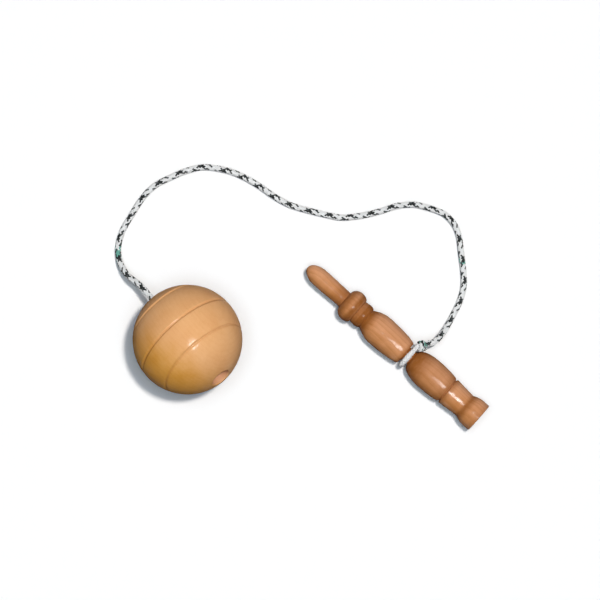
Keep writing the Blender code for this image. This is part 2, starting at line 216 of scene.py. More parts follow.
# Turns that the yarns have made at distances along the cord
BRAID_TURNS = (
    (0.0000, -4.75),
    (0.0583, 0.0),
    (0.1454, 7.0),
    (0.1859, 11.0),
    (0.3479, 25.0),
    (0.3825, 28.0),
)

# How far the cord has rolled at distances along it, then waves on that: reach, length and start
ROLL_PLACES = (
    (0.000, 0.1),
    (0.080, -0.2),
    (0.140, 0.1),
    (0.157, 1.3),
    (0.172, 1.4),
    (0.190, 0.0),
    (0.260, -0.3),
    (0.370, 0.2),
)
ROLL_WAVES = ((0.30, 0.047, 0.4), (0.22, 0.029, 1.9))

# Colours of the yarns, by number and way round, and the stretches of cord where they show
WHITE_YARN = (0.91, 0.92, 0.92)
BLACK_YARN = (0.016, 0.020, 0.020)
GREY_YARN = (0.070, 0.080, 0.080)
TEAL_YARN = (0.16, 0.46, 0.38)
CORE_COLOUR = (0.45, 0.46, 0.45)
DARK_YARNS = {
    (0, -1): BLACK_YARN,
    (1, -1): BLACK_YARN,
    (2, -1): BLACK_YARN,
    (0, 1): BLACK_YARN,
    (1, 1): GREY_YARN,
    (5, 1): GREY_YARN,
}
TEAL_YARNS = ((3, -1), (4, -1), (6, 1), (7, 1))
HITCH_TEAL_YARNS = ((3, -1), (4, -1), (5, -1), (3, 1), (6, 1), (7, 1))
WHOLE_LENGTH = ((0.0, 1.0),)
TEAL_PLACES = ((0.0560, 0.0690), (0.2970, 0.3040))

# Hitch round the handle: the loop in the groove and the turns that hold it
LOOP_RADIUS = 0.0061
LOOP_GIRTH = 0.95
LOOP_STEPS = 14
HITCH_CORE_GIRTH = 0.60
HITCH_NARROWING = 0.0060
HITCH_TURN_GIRTH = 0.55
HITCH_TURN_RADIUS = 0.00225
HITCH_TURN_LEAD = 0.0019
HITCH_TURN_START = -0.0008
HITCH_TURNS = 2.2
HITCH_TURN_STEPS = 14
HITCH_TUCK_STEPS = 5
HITCH_TUCK_DEPTH = 0.7
HITCH_SHIFT = Vector((0.0010, -0.0004, 0.0))
HITCH_FLECKED_LENGTH = 0.0260

# Stop knot in the foot of the spike hole
STOP_KNOT_HEIGHT = -0.0025
STOP_KNOT_REACH = 0.00098
STOP_KNOT_RISE = 1.35 * STOP_KNOT_REACH
STOP_KNOT_OPENING = 0.15
STOP_KNOT_STEPS = 60
STOP_KNOT_GIRTH = 0.84

# Wood: how fine each pattern is in a millimetre, along the grain and across it, or all ways alike
YEAR_WANDER_PATTERN = (0.02, 0.09, 0.09)
FIBRE_PATTERN = (0.07, 1.3, 1.3)
FLECK_PATTERN = (0.40, 4.0, 4.0)
# The pattern that varies the painted shade
PAINTED_SHADE_PATTERN = (0.70, 0.25, 0.25)
LATHE_PATTERN = (3.4, 0.02, 0.02)
BARE_FIBRE_PATTERN = (0.15, 1.8, 1.8)
DRILL_PATTERN = (2.6, 0.05, 0.05)
MOTTLE_PATTERN = 0.075
VARNISH_PATTERN = 0.55

# Wood: what each pattern does. Years and heartwood are measured in millimetres, relief in metres
YEAR_SPACING = 2.3
YEAR_WANDER = 5.0
LATE_WOOD_START = 0.35
LATE_WOOD_END = 0.95
LATE_WOOD_MEAN = 0.3
FLECK_LIMITS = (0.62, 0.74)
FLECK_SHARE = 0.32
MOTTLE_SHARE = 1.10
MEAN_SHADE = 0.43
HEART_WANDER = 14.0
# How much of the painted shade shows: at least this, and up to this share more
PAINTED_SHADE_LEAST = 0.72
PAINTED_SHADE_SHARE = 0.56
GRAIN_RELIEF = 0.00004
FLECK_RELIEF = 0.35
GRAIN_STRENGTH = 0.35
WOOD_ROUGHNESS = 0.40
FIBRE_ROUGHNESS = 0.14
# Roughness added where the shade is painted
PAINTED_SHADE_ROUGHNESS = 0.08
VARNISH_LIMITS = (0.30, 0.66)
THIN_VARNISH = 0.45
POLISH = 1.6
VARNISH_IOR = 2.0
BARE_FIBRE_SHARE = 0.8
DRILL_SHARE = 0.7
BARE_SHADE = 0.45
DRILL_RELIEF = 0.00012
DRILL_STRENGTH = 0.5
BARE_ROUGHNESS = 0.62
BARE_FIBRE_ROUGHNESS = 0.2

# Each wood: colours from pale to deep, where heartwood takes over, the colour of its painted shade, the
# pith, the grain and the varnish
HANDLE_WOOD = {
    "sapwood": ((0.735, 0.364, 0.190), (0.52, 0.220, 0.092)),
    "heartwood": ((0.66, 0.290, 0.105), (0.44, 0.160, 0.038)),
    # Colour of the shade painted into the handle's hollows
    "painted_shade_colour": (0.300, 0.100, 0.022),
    "heart_side": (0.0, -1.0, 0.0),
    "heart_limits": (-6.0, 9.0),
    "pith": (0.0, 26.0, -17.0),
    "years": 0.26,
    "streaks": 0.70,
    "coat": 0.056,
    "coat_roughness": 0.19,
}
BALL_WOOD = {
    "sapwood": ((0.90, 0.513, 0.241), (0.765, 0.356, 0.134)),
    "heartwood": ((0.825, 0.405, 0.080), (0.65, 0.272, 0.032)),
    # Colour of the shade painted into the ball's rings and round its holes
    "painted_shade_colour": (0.340, 0.130, 0.030),
    "heart_side": (0.3, -0.95, 0.0),
    "heart_limits": (3.0, 26.0),
    "pith": (0.0, 38.0, 30.0),
    "years": 0.09,
    "streaks": 0.50,
    "coat": 0.07,
    "coat_roughness": 0.17,
}
BARE_WOOD = ((0.74, 0.38, 0.20), (0.52, 0.24, 0.11))

# Yarn: its filaments by the millimetre, and its fluff and soil by the metre
FILAMENTS_AROUND = 5.0
FILAMENT_TURNS = 1.5
FILAMENT_SHARE = 0.05
FLUFF_PATTERN = 2600.0
FLUFF_SHARE = 0.16
FLUFF_ROUGHNESS = 0.2
SOIL_PATTERN = 160.0
SOIL_SHARE = 0.10
YARN_SHADE = 0.95
YARN_ROUGHNESS = 0.72
YARN_RELIEF = 0.00005
YARN_STRENGTH = 0.6

# Unevenness of the brushed varnish
WAVE_SIZE = 0.0022
WAVE_DEPTH = 0.00014

# Fineness
HANDLE_SIDES = 144
BALL_SIDES = 144
CURVE_STEPS = 20
SKIN_STEPS = 110
RING_STEPS = 10
LIP_STEPS = 6
CORNER_STEPS = 4
SANDED_EDGE = 0.0004
SANDED_SHARE = 0.45
SHARP_CORNER = math.radians(28.0)
CREASE_ANGLE = math.radians(50.0)
MERGE_DISTANCE = 0.000002

# Camera: straight above, as far off as a long lens puts it
VIEW_CENTRE = (-0.0273, 0.0307)
VIEW_WIDTH = 0.3284
VIEW_TURN = math.radians(41.41)
VIEW_PLANE_HEIGHT = 0.0150
VIEW_DISTANCE = 8.0
SENSOR_WIDTH = 36.0

# Light: a warm window and a cool panel, which make white together, a lamp for the gloss and a faint sky
WINDOW_TILT = math.radians(12.0)
WINDOW_HEADING = math.radians(81.0)
WINDOW_WIDTH = math.radians(5.0)
WINDOW_SHARE = 0.61
WINDOW_TINT = (1.060, 1.0, 0.940)
PANEL_WIDTH = math.radians(36.0)
PANEL_SHARE = 0.40
PANEL_TINT = (0.890, 1.0, 1.110)
GLOSS_TILT = math.radians(15.5)
GLOSS_HEADING = math.radians(3.0)
GLOSS_WIDTH = math.radians(19.0)
GLOSS_SHARE = 1.45
SKY_STRENGTH = 0.02
WHITE = (1.0, 1.0, 1.0)

# Paper on the floor: its size, its tooth and the light that it throws back up
FLOOR_SIZE = 30.0
PAPER_TOOTH_PATTERN = 400.0
PAPER_TOOTH = (0.985, 0.985, 0.985)
PAPER_BOUNCE = (0.09, 0.068, 0.042)


class Wire:
    """A node's output. Arithmetic on it adds Math nodes."""

    def __init__(self, finish, socket):
        self.finish = finish
        self.socket = socket

    def output(self, name):
        """Another output of the same node."""
        return Wire(self.finish, self.socket.node.outputs[name])

    def math(self, operation, *terms, clamp=False):
        sockets = dict(enumerate(terms))
        settings = {"operation": operation, "use_clamp": clamp}
        return self.finish.node("ShaderNodeMath", settings, sockets)

    def __add__(self, other):
        return self.math("ADD", self, other)

    def __radd__(self, other):
        return self.math("ADD", other, self)

    def __sub__(self, other):
        return self.math("SUBTRACT", self, other)

    def __rsub__(self, other):
        return self.math("SUBTRACT", other, self)

    def __mul__(self, other):
        return self.math("MULTIPLY", self, other)

    def __rmul__(self, other):
        return self.math("MULTIPLY", other, self)

    def __truediv__(self, other):
        return self.math("DIVIDE", self, other)

    def sine(self):
        return self.math("SINE", self)

    def fraction(self):
        return self.math("FRACT", self)

    def clamped(self):
        return self.math("ADD", self, 0.0, clamp=True)

    def spread(self, share):
        """Noise moved down to lie about 0, then scaled."""
        return (self - 0.5) * share

    def between(self, low, high):
        """0 below low, 1 above high, and smooth between them."""
        settings = {"interpolation_type": "SMOOTHSTEP"}
        sockets = {"Value": self, "From Min": low, "From Max": high}
        return self.finish.node("ShaderNodeMapRange", settings, sockets)


class Finish:
    """A material and the nodes that it is made of."""

    def __init__(self, name):
        self.material = bpy.data.materials.new(name)
        self.material.use_nodes = True
        self.tree = self.material.node_tree
        self.shader = self.tree.nodes["Principled BSDF"]

    def node(self, kind, settings=None, sockets=None, output=0):
        """Add a node, make its settings, then fill its sockets with values or links."""
        made = self.tree.nodes.new(kind)
        for name, value in (settings or {}).items():
            setattr(made, name, value)
        for name, value in (sockets or {}).items():
            self.fill(made.inputs[name], value)
        return Wire(self, made.outputs[output])

    def fill(self, socket, value):
        """Link a wire to a socket, or give the socket a value. Colours are red, green and blue."""
        if isinstance(value, Wire):
            self.tree.links.new(value.socket, socket)
        elif socket.type == "RGBA":
            socket.default_value = (*value, 1.0)
        else:
            socket.default_value = value

    def set(self, **values):
        """Fill the shader's own sockets, with spaces for underscores."""
        for name, value in values.items():
            self.fill(self.shader.inputs[name.replace("_", " ")], value)

    def mix(self, share, first, second, blend="MIX"):
        """A colour part of the way from the first to the second."""
        settings = {"data_type": "RGBA", "blend_type": blend, "clamp_factor": True}
        # The node's two colours are its inputs 6 and 7, and the mixed colour is its output 2
        return self.node("ShaderNodeMix", settings, {0: share, 6: first, 7: second}, output=2)

    def vector(self, operation, first, second, output=0):
        return self.node("ShaderNodeVectorMath", {"operation": operation}, {0: first, 1: second}, output)

    def noise(self, place, scale, detail=3.0, roughness=0.5):
        sockets = {"Vector": place, "Scale": scale, "Detail": detail, "Roughness": roughness}
        return self.node("ShaderNodeTexNoise", {}, sockets)

    def stretched_noise(self, place, stretch, detail=3.0, roughness=0.5):
        return self.noise(self.vector("MULTIPLY", place, stretch), 1.0, detail, roughness)

    def attribute(self, name, output):
        return self.node("ShaderNodeAttribute", {"attribute_name": name}, output=output)

    def bump(self, height, distance, strength):
        sockets = {"Height": height, "Distance": distance, "Strength": strength}
        return self.node("ShaderNodeBump", {}, sockets)


def along_the_grain(finish, base, axis):
    """A place on the wood in millimetres: x along the axis that it was turned on, y and z across."""
    place = finish.node("ShaderNodeTexCoord", output="Object")
    turn = axis.to_track_quat("X", "Z").to_euler()
    settings = {"vector_type": "TEXTURE"}
    scale = [1 / MILLIMETRES_PER_METRE] * 3
    sockets = {"Vector": place, "Location": base, "Rotation": turn, "Scale": scale}
    return finish.node("ShaderNodeMapping", settings, sockets)


def growth_rings(finish, place, pith):
    """0 to 1 across each year's ring, round a pith that lies off the axis."""
    wander = finish.stretched_noise(place, YEAR_WANDER_PATTERN, detail=2.0)
    offset = finish.vector("SUBTRACT", place, pith)
    flat = finish.vector("MULTIPLY", offset, (0.0, 1.0, 1.0))
    distance = finish.node("ShaderNodeVectorMath", {"operation": "LENGTH"}, {0: flat}, output="Value")
    year = (distance + wander * YEAR_WANDER) / YEAR_SPACING
    return year.fraction()


def turned_wood(name, base, axis, kind):
    """Close-grained wood under clear varnish, with heartwood on one side and shade painted into the
    hollows.
    """
    finish = Finish(name)
    place = along_the_grain(finish, base, axis)
    ring = growth_rings(finish, place, kind["pith"])
    late_wood = ring.between(LATE_WOOD_START, LATE_WOOD_END) * (1.0 - ring.between(LATE_WOOD_END, 1.0))
    fibres = finish.stretched_noise(place, FIBRE_PATTERN, detail=6.0, roughness=0.68)
    flecks = finish.stretched_noise(place, FLECK_PATTERN, detail=2.0)
    fleck_marks = flecks.between(*FLECK_LIMITS)
    mottle = finish.noise(place, MOTTLE_PATTERN)

    years = (late_wood - LATE_WOOD_MEAN) * kind["years"]
    shade = years + fibres.spread(kind["streaks"]) + mottle.spread(MOTTLE_SHARE) + MEAN_SHADE
    shade = shade.clamped()
    pale_side = finish.mix(shade, *kind["sapwood"])
    deep_side = finish.mix(shade, *kind["heartwood"])
    across = finish.vector("DOT_PRODUCT", place, kind["heart_side"], output="Value")
    heart = (across + mottle.spread(HEART_WANDER)).between(*kind["heart_limits"])
    wood = finish.mix(heart, pale_side, deep_side)
    wood = finish.mix(fleck_marks * FLECK_SHARE, wood, kind["heartwood"][1])
    # Painted shade: a dark brown mixed in where the stored share says, varied by noise
    painted_shade_noise = finish.stretched_noise(place, PAINTED_SHADE_PATTERN)
    painted_shade = (finish.attribute("painted_shade", "Fac") * (PAINTED_SHADE_LEAST + painted_shade_noise * PAINTED_SHADE_SHARE)).clamped()
    wood = finish.mix(painted_shade, wood, kind["painted_shade_colour"])

    lathe = finish.stretched_noise(place, LATHE_PATTERN, detail=2.0, roughness=0.6)
    varnish = finish.noise(place, VARNISH_PATTERN, detail=2.0).between(*VARNISH_LIMITS)
    polish = finish.attribute("polish", "Fac")
    grain = fibres * 0.5 + lathe * 0.5 - fleck_marks * FLECK_RELIEF
    finish.set(
        Base_Color=wood,
        Roughness=WOOD_ROUGHNESS + fibres.spread(FIBRE_ROUGHNESS) + painted_shade * PAINTED_SHADE_ROUGHNESS,
        Normal=finish.bump(grain, GRAIN_RELIEF, GRAIN_STRENGTH),
        Specular_IOR_Level=0.0,
        Coat_Weight=kind["coat"] * (THIN_VARNISH + varnish + polish * POLISH),
        Coat_Roughness=kind["coat_roughness"],
        Coat_IOR=VARNISH_IOR,
    )
    return finish.material


def bored_wood(name, base, axis, pale, deep):
    """Bare end grain inside a drilled hole: dry, with rings left by the drill."""
    finish = Finish(name)
    place = along_the_grain(finish, base, axis)
    fibres = finish.stretched_noise(place, BARE_FIBRE_PATTERN, detail=4.0, roughness=0.6)
    drill = finish.stretched_noise(place, DRILL_PATTERN, detail=2.0, roughness=0.6)
    shade = fibres.spread(BARE_FIBRE_SHARE) + drill.spread(DRILL_SHARE) + BARE_SHADE
    wood = finish.mix(shade.clamped(), pale, deep)
    finish.set(
        Base_Color=wood,
        Roughness=BARE_ROUGHNESS + fibres.spread(BARE_FIBRE_ROUGHNESS),
        Normal=finish.bump(fibres * 0.4 + drill * 0.6, DRILL_RELIEF, DRILL_STRENGTH),
    )
    return finish.material


def braided_yarn(name):
    """Spun polyester: twisted filaments along each yarn, with a little soil and fluff."""
    finish = Finish(name)
    dye = finish.attribute("yarn_colour", "Color")
    spot = finish.node("ShaderNodeUVMap", {"uv_map": "yarn"})
    around = finish.node("ShaderNodeSeparateXYZ", {}, {0: spot}, output="X")
    lengthwise = around.output("Y")
    turns = around * FILAMENTS_AROUND + lengthwise * FILAMENT_TURNS
    filaments = (turns * (2 * math.pi)).sine()
    place = finish.node("ShaderNodeTexCoord", output="Object")
    fluff = finish.noise(place, FLUFF_PATTERN, roughness=0.6)
    soil = finish.noise(place, SOIL_PATTERN)
    shade = YARN_SHADE + filaments * FILAMENT_SHARE + fluff.spread(FLUFF_SHARE) + soil.spread(SOIL_SHARE)
    shade = shade.clamped()
    grey = finish.node("ShaderNodeCombineColor", {}, {0: shade, 1: shade, 2: shade})
    finish.set(
        Base_Color=finish.mix(1.0, dye, grey, "MULTIPLY"),
        Roughness=YARN_ROUGHNESS + fluff.spread(FLUFF_ROUGHNESS),
        Normal=finish.bump(filaments * 0.5 + fluff * 0.5, YARN_RELIEF, YARN_STRENGTH),
        Specular_IOR_Level=0.30,
        Sheen_Weight=0.08,
        Sheen_Roughness=0.5,
    )
    return finish.material


def straight(start, length, first_radius, last_radius):
    for step in range(CURVE_STEPS + 1):
        share = step / CURVE_STEPS
        yield start + share * length, first_radius + share * (last_radius - first_radius)


def swelling(start, length, first_radius, last_radius):
    """A stretch that leaves at a slope and levels off at its far end."""
    for step in range(CURVE_STEPS + 1):
        share = step / CURVE_STEPS
        radius = first_radius + (last_radius - first_radius) * math.sin(share * math.pi / 2)
        yield start + share * length, radius


def rounding(start, length, first_radius, last_radius):
    """A stretch that leaves level and rounds off, as a quarter of an ellipse."""
    for step in range(CURVE_STEPS + 1):
        angle = step / CURVE_STEPS * math.pi / 2
        radius = last_radius + (first_radius - last_radius) * math.cos(angle)
        yield start + length * math.sin(angle), radius


def rising(start, length, first_radius, last_radius):
    """A quarter of an ellipse that rises from a square shoulder and ends level."""
    for step in range(CURVE_STEPS + 1):
        angle = step / CURVE_STEPS * math.pi / 2
        radius = first_radius + (last_radius - first_radius) * math.sin(angle)
        yield start + length * (1 - math.cos(angle)), radius


def spike_outline():
    """A blunt nose, then a slight taper to the collar."""
    for step in range(CURVE_STEPS + 1):
        share = 1 - math.cos(step / CURVE_STEPS * math.pi / 2)
        fullness = math.sqrt(1 - (1 - share) ** SPIKE_NOSE_FULLNESS)
        yield share * SPIKE_NOSE_LENGTH, SPIKE_RADIUS * fullness
    shank_length = SPIKE_LENGTH - SPIKE_NOSE_LENGTH
    yield from straight(SPIKE_NOSE_LENGTH, shank_length, SPIKE_RADIUS, SPIKE_ROOT_RADIUS)


def collar_outline(start):
    yield from rising(start, COLLAR_NOSE_LENGTH, SPIKE_ROOT_RADIUS, BLANK_RADIUS)
    crown = start + COLLAR_NOSE_LENGTH
    yield from rounding(crown, COLLAR_LENGTH - COLLAR_NOSE_LENGTH, BLANK_RADIUS, COLLAR_REAR_RADIUS)


def bead_outline(start):
    """A low bead that falls to the valley before the barrel."""
    half = BEAD_LENGTH / 2
    yield from swelling(start, half, COLLAR_REAR_RADIUS, BEAD_RADIUS)
    yield from rounding(start + half, half, BEAD_RADIUS, BEAD_VALLEY_RADIUS)


def upper_barrel_outline(start):
    yield from swelling(start, UPPER_BARREL_NOSE_LENGTH, BEAD_VALLEY_RADIUS, UPPER_BARREL_RADIUS)
    rear_length = UPPER_BARREL_LENGTH - UPPER_BARREL_NOSE_LENGTH
    crown = start + UPPER_BARREL_NOSE_LENGTH
    yield from rounding(crown, rear_length, UPPER_BARREL_RADIUS, UPPER_BARREL_END_RADIUS)


def groove_outline(start):
    yield from straight(start, GROOVE_WIDTH, GROOVE_RADIUS, GROOVE_RADIUS)


def lower_barrel_outline(start):
    """A barrel that rises from the groove with a round end."""
    yield from rising(start, LOWER_BARREL_NOSE_LENGTH, GROOVE_RADIUS, BLANK_RADIUS)
    rear_length = LOWER_BARREL_LENGTH - LOWER_BARREL_NOSE_LENGTH
    crown = start + LOWER_BARREL_NOSE_LENGTH
    yield from rounding(crown, rear_length, BLANK_RADIUS, LOWER_BARREL_END_RADIUS)


def neck_outline(start):
    """The scored line below the barrel, then a neck that tapers to the foot."""
    yield start + SCORE_LENGTH / 2, LOWER_BARREL_END_RADIUS - SCORE_DEPTH
    yield from straight(start + SCORE_LENGTH, NECK_LENGTH - SCORE_LENGTH, NECK_TOP_RADIUS, NECK_END_RADIUS)


def foot_outline(start):
    """A flared foot with an eased edge, a flat rim and a dish that the ball's own curve fits."""
    yield from swelling(start, FOOT_NOSE_LENGTH, NECK_END_RADIUS, FOOT_RADIUS)
    end = start + FOOT_LENGTH
    nose_end = start + FOOT_NOSE_LENGTH
    edge_start = end - FOOT_EDGE
    yield from straight(nose_end, edge_start - nose_end, FOOT_RADIUS, FOOT_RADIUS)
    rim_radius = FOOT_RADIUS - FOOT_EDGE
    yield from rounding(edge_start, FOOT_EDGE, FOOT_RADIUS, rim_radius)
    dish_radius = rim_radius - FOOT_RIM_WIDTH
    rim_depth = math.sqrt(BALL_RADIUS**2 - dish_radius**2)
    for step in range(CURVE_STEPS + 1):
        radius = dish_radius * (1 - step / CURVE_STEPS)
        yield end + rim_depth - math.sqrt(BALL_RADIUS**2 - radius**2), radius


def handle_outline():
    outline = list(spike_outline())
    start = SPIKE_LENGTH
    for stretch, length in (
        (collar_outline, COLLAR_LENGTH),
        (bead_outline, BEAD_LENGTH),
        (upper_barrel_outline, UPPER_BARREL_LENGTH),
        (groove_outline, GROOVE_WIDTH),
        (lower_barrel_outline, LOWER_BARREL_LENGTH),
        (neck_outline, NECK_LENGTH),
        (foot_outline, FOOT_LENGTH),
    ):
        outline += stretch(start)
        start += length
    return outline


def skin_outline():
    """The ball's round skin from the spike hole to the cord hole, with its scored rings."""
    first = math.acos(BORE_MOUTH_HEIGHT / BALL_RADIUS)
    last = math.acos(CORD_EXIT_HEIGHT / BALL_RADIUS)
    half_ring = RING_WIDTH / 2 / BALL_RADIUS
    rings = [(math.acos(height / BALL_RADIUS), depth) for height, depth in RINGS]
    cuts = []
    for step in range(SKIN_STEPS + 1):
        angle = first + step / SKIN_STEPS * (last - first)
        if all(abs(angle - ring) > RING_MARGIN * half_ring for ring, depth in rings):
            cuts.append((angle, BALL_RADIUS))
    for ring, depth in rings:
        for step in range(-RING_STEPS, RING_STEPS + 1):
            share = step / RING_STEPS
            cut = depth * math.cos(share * math.pi / 2) ** 2
            cuts.append((ring + share * half_ring, BALL_RADIUS - cut))
    for angle, radius in sorted(cuts):
        yield radius * math.cos(angle), radius * math.sin(angle)


def ball_outline():
    """The skin, then the cord hole, the floor of the spike hole and its wall, back to where it began."""
    outline = list(skin_outline())
    for step in range(1, LIP_STEPS + 1):
        angle = step / LIP_STEPS * math.pi / 2
        height = CORD_EXIT_HEIGHT + 2 * CORD_HOLE_LIP * (1 - math.cos(angle))
        outline.append((height, CORD_HOLE_RADIUS + CORD_HOLE_LIP * (1 - math.sin(angle))))
    outline.append((BORE_FLOOR_HEIGHT, CORD_HOLE_RADIUS))
    outline.append((BORE_FLOOR_HEIGHT, BORE_RADIUS))
    for step in range(LIP_STEPS):
        angle = step / LIP_STEPS * math.pi / 2
        height = BORE_MOUTH_HEIGHT - BORE_LIP * (1 - math.sin(angle))
        outline.append((height, BORE_RADIUS + BORE_LIP * (1 - math.cos(angle))))
    outline.append(outline[0])
    return outline


def without_repeats(outline):
    """Drop a point that falls on the one before it, where two stretches of outline meet."""
    kept = []
    for pair in outline:
        if not kept or math.dist(kept[-1], pair) > MERGE_DISTANCE:
            kept.append(pair)
    return kept


def sanded(outline):
    """Take the edge off each sharp corner of an outline."""
    points = [Vector(pair) for pair in outline]
    kept = [points[0]]
    for before, corner, after in zip(points, points[1:], points[2:]):
        arriving, leaving = corner - before, after - corner
        if arriving.angle(leaving) < SHARP_CORNER:
            kept.append(corner)
            continue
        shorter = min(arriving.length, leaving.length)
        cut = min(SANDED_EDGE, SANDED_SHARE * shorter)
        first = corner - cut * arriving.normalized()
        last = corner + cut * leaving.normalized()
        for step in range(CORNER_STEPS + 1):
            share = step / CORNER_STEPS
            kept.append(first.lerp(corner, share).lerp(corner.lerp(last, share), share))
    return [tuple(point) for point in kept + [points[-1]]]


def turned(name, outline, base, axis, sides):
    """A shape turned on the lathe: a plane drawn to a point, led along the outline, then spun."""
    across = axis.orthogonal().normalized()
    places = [base + height * axis + radius * across for height, radius in outline]
    bpy.ops.object.select_all(action="DESELECT")
    bpy.ops.mesh.primitive_plane_add(size=BALL_RADIUS)
    piece = bpy.context.object
    piece.name = piece.data.name = name
    bpy.ops.object.mode_set(mode="EDIT")
    bpy.ops.mesh.merge(type="CENTER")
    bpy.ops.transform.translate(value=places[0])
    for start, end in zip(places, places[1:]):
        bpy.ops.mesh.extrude_vertices_move(TRANSFORM_OT_translate={"value": end - start})
    bpy.ops.mesh.select_all(action="SELECT")
    bpy.ops.mesh.spin(steps=sides, angle=2 * math.pi, center=base, axis=axis)
    bpy.ops.mesh.select_all(action="SELECT")
    bpy.ops.mesh.remove_doubles(threshold=MERGE_DISTANCE)
    bpy.ops.mesh.normals_make_consistent(inside=False)
    bpy.ops.object.mode_set(mode="OBJECT")
    bpy.ops.object.shade_smooth_by_angle(angle=CREASE_ANGLE)
    return piece


def brushed(piece):
    """Sink the skin here and there by a hair, as varnish from a brush lies."""
    waves = bpy.data.textures.new("varnish_waves", "CLOUDS")
    waves.noise_scale = WAVE_SIZE
    waves.noise_depth = 0
    bpy.context.view_layer.objects.active = piece
    bpy.ops.object.modifier_add(type="DISPLACE")
    sinking = piece.modifiers[-1]
    sinking.texture = waves
    sinking.strength = WAVE_DEPTH
    sinking.mid_level = 1.0
    bpy.ops.object.modifier_apply(modifier=sinking.name)


def lay_painted_shade_and_polish(piece, name, shares):
    """Store on each point a share from 0 to 1, of painted shade for one attribute and of varnish thickness
    for the other.
    """
    attribute = piece.data.attributes.new(name, "FLOAT", "POINT")
    attribute.data.foreach_set("value", np.clip(shares, 0.0, 1.0))


def shares_along(heights, stretches):
    """For each height, the largest share that any of the stretches gives it."""
    shares = np.zeros(len(heights))
    for start, full, last_full, end, share in stretches:
        rise = np.interp(heights, (start, full, last_full, end), (0.0, share, share, 0.0))
        shares = np.maximum(shares, rise)
    return shares


def make_handle():
    outline = sanded(without_repeats(handle_outline()))
    groove_start = SPIKE_LENGTH + COLLAR_LENGTH + BEAD_LENGTH + UPPER_BARREL_LENGTH
    tip = GROOVE_CENTRE - (groove_start + GROOVE_WIDTH / 2) * HANDLE_AXIS
    handle = turned("turned_handle", outline, tip, HANDLE_AXIS, HANDLE_SIDES)
    brushed(handle)
    heights = [(vertex.co - tip).dot(HANDLE_AXIS) for vertex in handle.data.vertices]
    # Painted shade along the handle, darker in its hollows and creases
    lay_painted_shade_and_polish(handle, "painted_shade", shares_along(heights, PAINTED_SHADE_STRETCHES))
    lay_painted_shade_and_polish(handle, "polish", shares_along(heights, POLISHED_STRETCHES))
    wood = turned_wood("handle_wood", tip, HANDLE_AXIS, HANDLE_WOOD)
    handle.data.materials.append(wood)
    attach(handle, "handle")
    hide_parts("handle")


def make_ball():
    outline = sanded(without_repeats(ball_outline()))
    ball = turned("turned_ball", outline, BALL_CENTRE, MOUTH_DIRECTION, BALL_SIDES)
    # Painted shade that deepens with depth below the skin: in the scored rings and round the lips of the
    # holes
    depths = [BALL_RADIUS - (vertex.co - BALL_CENTRE).length for vertex in ball.data.vertices]
    lay_painted_shade_and_polish(ball, "painted_shade", np.array(depths) / FULL_PAINTED_SHADE_DEPTH)
    varnished = turned_wood("ball_wood", BALL_CENTRE, MOUTH_DIRECTION, BALL_WOOD)
    bare = bored_wood("bore_wood", BALL_CENTRE, MOUTH_DIRECTION, *BARE_WOOD)
    ball.data.materials.append(varnished)
    ball.data.materials.append(bare)
    for face in ball.data.polygons:
        offset = face.center - BALL_CENTRE
        face.material_index = int(offset.length < BALL_RADIUS - BARE_WOOD_DEPTH)
    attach(ball, "ball")
    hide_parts("ball")


def distances_along(line):
    steps = np.linalg.norm(np.diff(line, axis=0), axis=1)
    return np.concatenate([[0.0], np.cumsum(steps)])


def smooth_line(points, spacing):
    """Points at even distances on a smooth curve through the given ones."""
    points = np.array([tuple(point) for point in points])
    padded = np.vstack([2 * points[:1] - points[1:2], points, 2 * points[-1:] - points[-2:-1]])
    share = np.linspace(0.0, 1.0, SMOOTHING_STEPS, endpoint=False)[:, None]
    stretches = []
    for before, start, end, after in zip(padded, padded[1:], padded[2:], padded[3:]):
        slope = (end - before) * share
        bend = (2 * before - 5 * start + 4 * end - after) * share**2
        turn = (3 * start - before - 3 * end + after) * share**3
        stretches.append(start + (slope + bend + turn) / 2)
    curve = np.vstack(stretches + [points[-1:]])
    along = distances_along(curve)
    goals = np.linspace(0.0, along[-1], round(along[-1] / spacing) + 1)
    return np.stack([np.interp(goals, along, curve[:, axis]) for axis in range(3)], axis=1)


def unit(vectors):
    return vectors / np.linalg.norm(vectors, axis=-1, keepdims=True)


def carried_sides(line, first_side):
    """Two directions across a line at each of its points, carried along it without twisting."""
    tangents = unit(np.gradient(line, axis=0))
    side = np.array(first_side)
    sides = []
    for tangent in tangents:
        side = unit(side - tangent * (side @ tangent))
        sides.append(side)
    return np.array(sides), np.cross(tangents, np.array(sides))


